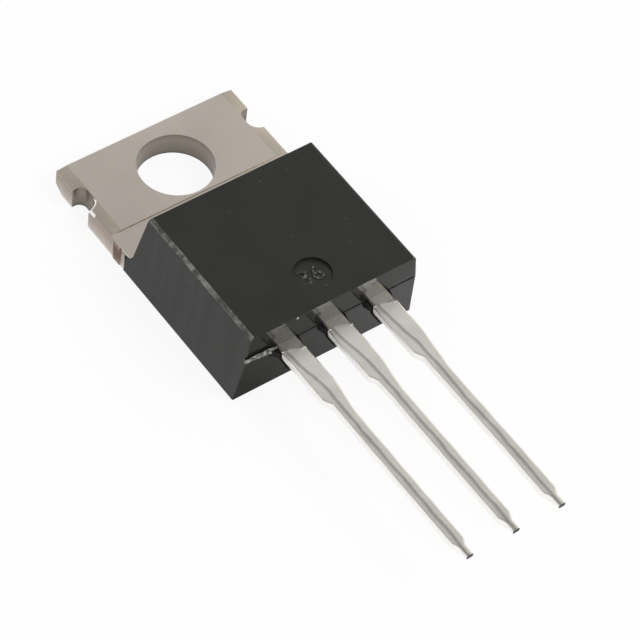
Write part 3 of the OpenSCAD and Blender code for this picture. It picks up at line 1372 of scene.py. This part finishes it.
@dataclass
class TrimRemains:
    """What moulding and trimming leave on the lead side.

    A torn ledge of flash stands at the parting line left of the gate lead, its
    near-black top painted shadow; thin near-black webs of resin, partly flash and
    partly painted shadow, cling to the root of each lead; a hair-thin ridge in the
    same near-black resin, which paints the shade of the crease, runs along the
    parting line; and three crumbs of filler stand out of the top.
    """

    parting_z_mm: float = 3.08
    wall_y_mm: float = -12.46
    wall_half_mm: float = 4.6
    lead_half_mm: float = 0.575
    pitch_mm: float = 2.54
    ledge_x_mm: tuple[float, float] = (-4.86, -3.15)
    ledge_reach_mm: float = 0.1
    ledge_thick_mm: float = 0.24
    ledge_top_mm: float = 3.29
    ledge_spread_mm: float = 0.26
    # A web, in part painted shadow, is thicker left of a lead than right, most of all at the gate
    web_gate_mm: float = 0.38
    web_left_mm: float = 0.2
    web_right_mm: float = 0.09
    web_end_mm: float = -12.95
    web_z_mm: tuple[float, float] = (2.66, 3.04)
    tail_end_mm: float = -13.55
    tail_mm: float = 0.04
    ridge_step_mm: float = 0.12
    ridge_jitter_mm: float = 0.012
    # Two on the rim of the ejector mark and one on the top's front edge
    crumbs_mm: tuple[tuple[float, float, float, float], ...] = (
        (-0.64, -11.39, 4.385, 0.05),
        (0.13, -11.6, 4.38, 0.055),
        (-2.055, -12.4, 4.355, 0.08),
    )
    crumb_period_mm: float = 0.08
    crumb_jitter_mm: float = 0.02

    def bar(
        self, low: Sequence[float], high: Sequence[float], step_mm: float, jitter_mm: float
    ) -> BMesh:
        """Makes a bar between two corners, with an uneven skin.

        Args:
            low: Lowest corner, in millimetres.
            high: Highest corner.
            step_mm: Spacing of the unevenness.
            jitter_mm: Depth of the unevenness.

        Returns:
            The mesh.
        """
        bm = bmesh.new()
        bmesh.ops.create_cube(bm, size=1.0)
        span = Vector([b - a for a, b in zip(low, high)])
        bmesh.ops.scale(bm, verts=bm.verts, vec=span * MM)
        centre = Vector([(a + b) / 2 for a, b in zip(low, high)])
        bmesh.ops.translate(bm, verts=bm.verts, vec=centre * MM)
        for axis in range(3):
            slice_at(bm, axis, steps(low[axis], high[axis], step_mm))
        for vert in bm.verts:
            vert.co += noise.noise_vector(vert.co / (2.2 * step_mm * MM)) * jitter_mm * MM
        bm.normal_update()
        return bm

    def ledge(self) -> BMesh:
        """Shapes the torn ledge, thin at the corner and thick by the lead.

        Returns:
            The mesh.
        """
        start, end = self.ledge_x_mm
        foot = self.ledge_top_mm - self.ledge_thick_mm
        low = (start, self.wall_y_mm - self.ledge_reach_mm, foot)
        bm = self.bar(low, (end, self.wall_y_mm + 0.05, self.ledge_top_mm), 0.06, 0.03)
        for vert in bm.verts:
            share = (vert.co.x / MM - start) / (end - start)
            depth = (self.ledge_top_mm - vert.co.z / MM) / self.ledge_thick_mm
            sag = 0.06 - 0.3 * (share - 0.45) ** 2 - 0.12 * max(0.0, share - 0.7)
            vert.co.z += (sag - depth * share * self.ledge_spread_mm) * MM
        bm.normal_update()
        # The top gets the near-black resin, painted shadow above the ledge; the front, torn face
        for face in bm.faces:
            face.material_index = 0 if face.normal.z > 0.55 else 1
        return bm

    def web(self, lead: int, side: int) -> BMesh:
        """Shapes the web beside a lead's root, widest at the wall.

        Args:
            lead: -1 for the gate lead, 0 for the drain lead, 1 for the source lead.
            side: -1 for its left side, 1 for its right side.

        Returns:
            The mesh.
        """
        left = self.web_gate_mm if lead < 0 else self.web_left_mm
        inner = lead * self.pitch_mm + side * (self.lead_half_mm - 0.02)
        outer = inner + side * (left if side < 0 else self.web_right_mm)
        low = (min(inner, outer), self.web_end_mm, self.web_z_mm[0])
        high = (max(inner, outer), self.wall_y_mm + 0.06, self.web_z_mm[1])
        bm = self.bar(low, high, 0.08, 0.03)
        for vert in bm.verts:
            along = (vert.co.y / MM - self.wall_y_mm) / (self.web_end_mm - self.wall_y_mm)
            away = vert.co.x / MM - inner
            vert.co.x = (inner + away * (1.1 - 0.85 * min(1.0, max(0.0, along) * 1.2))) * MM
        return bm

    def tail(self, lead: int, side: int) -> BMesh:
        """Shapes the thin tail that a web leaves along its lead.

        Args:
            lead: -1 for the gate lead, 0 for the drain lead, 1 for the source lead.
            side: -1 for its left side, 1 for its right side.

        Returns:
            The mesh.
        """
        rail = lead * self.pitch_mm + side * (self.lead_half_mm + 0.03)
        edge = rail + side * self.tail_mm
        low = (min(rail, edge), self.tail_end_mm, self.web_z_mm[0] - 0.07)
        high = (max(rail, edge), self.web_end_mm + 0.1, self.web_z_mm[0] + 0.02)
        return self.bar(low, high, 0.1, 0.02)

    def webs(self) -> BMesh:
        """Joins the webs and tails on both sides of each lead's root.

        Returns:
            The mesh.
        """
        joined = bmesh.new()
        for lead in (-1, 0, 1):
            for side in (-1, 1):
                for bar in (self.web(lead, side), self.tail(lead, side)):
                    mesh = bpy.data.meshes.new("web")
                    bar.to_mesh(mesh)
                    bar.free()
                    joined.from_mesh(mesh)
                    bpy.data.meshes.remove(mesh)
        joined.normal_update()
        return joined

    def ridge(self) -> BMesh:
        """Shapes the ridge along the parting line.

        Returns:
            The mesh.
        """
        low = (-self.wall_half_mm, self.wall_y_mm - 0.022, self.parting_z_mm - 0.035)
        high = (self.wall_half_mm, self.wall_y_mm + 0.02, self.parting_z_mm - 0.01)
        return self.bar(low, high, self.ridge_step_mm, self.ridge_jitter_mm)

    def crumbs(self) -> BMesh:
        """Shapes the crumbs of filler that stand out of the skin.

        Returns:
            The mesh.
        """
        bm = bmesh.new()
        for x, y, z, radius in self.crumbs_mm:
            place = Matrix.Translation(Vector((x, y, z)) * MM)
            bmesh.ops.create_icosphere(bm, subdivisions=2, radius=radius * MM, matrix=place)
        for vert in bm.verts:
            shift = noise.noise_vector(vert.co / (self.crumb_period_mm * MM))
            vert.co += shift * self.crumb_jitter_mm * MM
        bm.normal_update()
        return bm

    def dress(self) -> None:
        """Builds and finishes the ledge, the webs, the ridge and the crumbs."""
        smooth = {"depth_mm": 0.01, "roughness": 0.5, "specular": 0.12}
        ragged = (0.17, 0.42, 0.62, 0.05, 0.45)
        # Near-black resin paints shadow on the ledge's top, the root webs and the parting ridge
        resin = BrokenEpoxy("flash_resin_painted_shadow", "0c0c0b", "151514", **smooth).make()
        torn = BrokenEpoxy("torn_flash_face", "22211f", "9c9a94", *ragged).make()
        for bm, name, finishes in (
            (self.ledge(), "flash_ledge", [resin, torn]),
            (self.webs(), "root_flash_painted_shadow", [resin]),
            (self.ridge(), "parting_ridge", [resin]),
            (self.crumbs(), "filler_crumbs", [torn]),
        ):
            as_piece(bm, name, Slot.MOULDING, finishes)


@dataclass
class ChipAndWires:
    """The chip, its solder and its bond wires, which keep their solids."""

    wires: tuple[str, ...] = ("gate_bond_wire", "source_bond_wire_left", "source_bond_wire_right")

    def dress(self) -> None:
        """Assigns each hidden solid its finish."""
        plain = {"roughness": 0.12, "metallic": 0.0}
        silicon = InnerFinish("polished_silicon", "2c2e38", "3a3d48", 0.4, **plain)
        solder = InnerFinish("soft_lead_solder", "77787f", "8f9096", 0.15, roughness=0.5)
        wire = InnerFinish("drawn_aluminium_wire", "c2c4c8", "dfe0e2", 0.05, roughness=0.25)
        for finish, solids in (
            (silicon, ("silicon_die",)),
            (solder, ("die_attach_solder",)),
            (wire, self.wires),
        ):
            material = finish.make()
            for name in solids:
                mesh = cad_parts[name].data
                mesh.materials.clear()
                mesh.materials.append(material)
                log.info("%s: finish %s", name, finish.name)


@dataclass
class Studio:
    """Pale floor, soft lamp, pale surround and the camera."""

    azimuth: float = -41.804
    elevation: float = 51.15
    roll: float = 8.027
    focal_px: float = 3548.99
    distance_mm: float = 164.166
    aside_mm: tuple[float, float] = (3.264, -3.754)
    aim_mm: tuple[float, float, float] = (0.0, -6.0, 2.0)
    frame_px: float = 640.0
    sensor_mm: float = 36.0
    floor_half_m: float = 1.5
    floor_gap_mm: float = 0.002
    # The surround is white up to about 33 degrees and dims towards the zenith
    white_up_to: float = 0.545
    dim_from: float = 0.9
    dim_level: float = 0.4
    # The square soft lamp, and how bright its face looks, where white is 1
    key_azimuth: float = 39.6
    key_elevation: float = 49.5
    key_away_mm: float = 400
    key_size_mm: float = 180
    key_radiance: float = 7.0

    def direction(self, azimuth: float, elevation: float) -> Vector:
        """Points from the object towards a place in the studio.

        Args:
            azimuth: Degrees round from -Y, towards +X.
            elevation: Degrees up.

        Returns:
            A unit vector.
        """
        a, e = math.radians(azimuth), math.radians(elevation)
        return Vector((math.sin(a) * math.cos(e), -math.cos(a) * math.cos(e), math.sin(e)))

    def set_camera(self) -> None:
        """Places the camera."""
        back = self.direction(self.azimuth, self.elevation)
        round_z, turn = math.radians(self.azimuth), math.radians(self.roll)
        level = Vector((math.cos(round_z), math.sin(round_z), 0))
        upright = back.cross(level)
        right = math.cos(turn) * level + math.sin(turn) * upright
        up = math.cos(turn) * upright - math.sin(turn) * level
        place = Vector(self.aim_mm) + right * self.aside_mm[0] + up * self.aside_mm[1]
        place += back * self.distance_mm
        data = bpy.data.cameras.new("camera")
        data.sensor_width = self.sensor_mm
        data.lens = self.focal_px / self.frame_px * self.sensor_mm
        data.clip_start = 0.01
        camera = bpy.data.objects.new("camera", data)
        facing = Matrix((right, up, back)).transposed().to_4x4()
        camera.matrix_world = Matrix.Translation(place * MM) @ facing
        bpy.context.scene.collection.objects.link(camera)
        bpy.context.scene.camera = camera

    def set_key(self) -> None:
        """Adds the soft lamp, which faces the object."""
        towards = self.direction(self.key_azimuth, self.key_elevation)
        data = bpy.data.lights.new("key_front_right", "AREA")
        data.shape = "SQUARE"
        data.size = self.key_size_mm * MM
        data.energy = self.key_radiance * math.pi * (self.key_size_mm * MM) ** 2
        lamp = bpy.data.objects.new("key_front_right", data)
        lamp.rotation_euler = towards.to_track_quat("Z", "Y").to_euler()
        lamp.location = (Vector(self.aim_mm) + towards * self.key_away_mm) * MM
        bpy.context.scene.collection.objects.link(lamp)

    def set_surround(self) -> None:
        """Lights the scene evenly, white all round and dimmer overhead."""
        world = bpy.data.worlds.new("pale_surround")
        world.use_nodes = True
        tree = world.node_tree
        tree.nodes.clear()
        add = partial(add_node, tree)
        height = add("SeparateXYZ", [add("TexCoord").outputs["Generated"]]).outputs["Z"]
        fall = [height, self.white_up_to, self.dim_from, 1.0, self.dim_level]
        level = add("MapRange", fall)
        light = add("Background", {"Color": (1, 1, 1, 1), "Strength": level})
        add("OutputWorld", {"Surface": light})
        bpy.context.scene.world = world

    def set_floor(self) -> None:
        """Lays the pale floor, which shows white and keeps the object's shadow."""
        bm = bmesh.new()
        bmesh.ops.create_grid(bm, x_segments=1, y_segments=1, size=self.floor_half_m)
        bmesh.ops.translate(bm, verts=bm.verts, vec=(0, 0, -self.floor_gap_mm * MM))
        mesh = bpy.data.meshes.new("pale_floor")
        bm.to_mesh(mesh)
        bm.free()
        mesh.materials.append(FloorPaint().make())
        floor = bpy.data.objects.new("pale_floor", mesh)
        bpy.context.scene.collection.objects.link(floor)

    def build(self) -> None:
        """Sets the camera, the surround, the floor and the lamp."""
        self.set_camera()
        self.set_surround()
        self.set_floor()
        self.set_key()
        bpy.context.scene.view_settings.view_transform = "Standard"


def main() -> None:
    """Builds each sub-assembly in order, then the studio."""
    logging.basicConfig(level=logging.INFO, format="%(name)s: %(message)s")
    noise.seed_set(NOISE_SEED)
    coats = lead_coats()
    for part in (DrainStamping(), OuterLead("gate_lead"), OuterLead("source_lead")):
        part.dress(part.build(), coats)
    for part in (MouldedBody(), MarkDigits()):
        part.dress(part.build())
    TrimRemains().dress()
    ChipAndWires().dress()
    Studio().build()


if __name__ == "__main__":
    main()
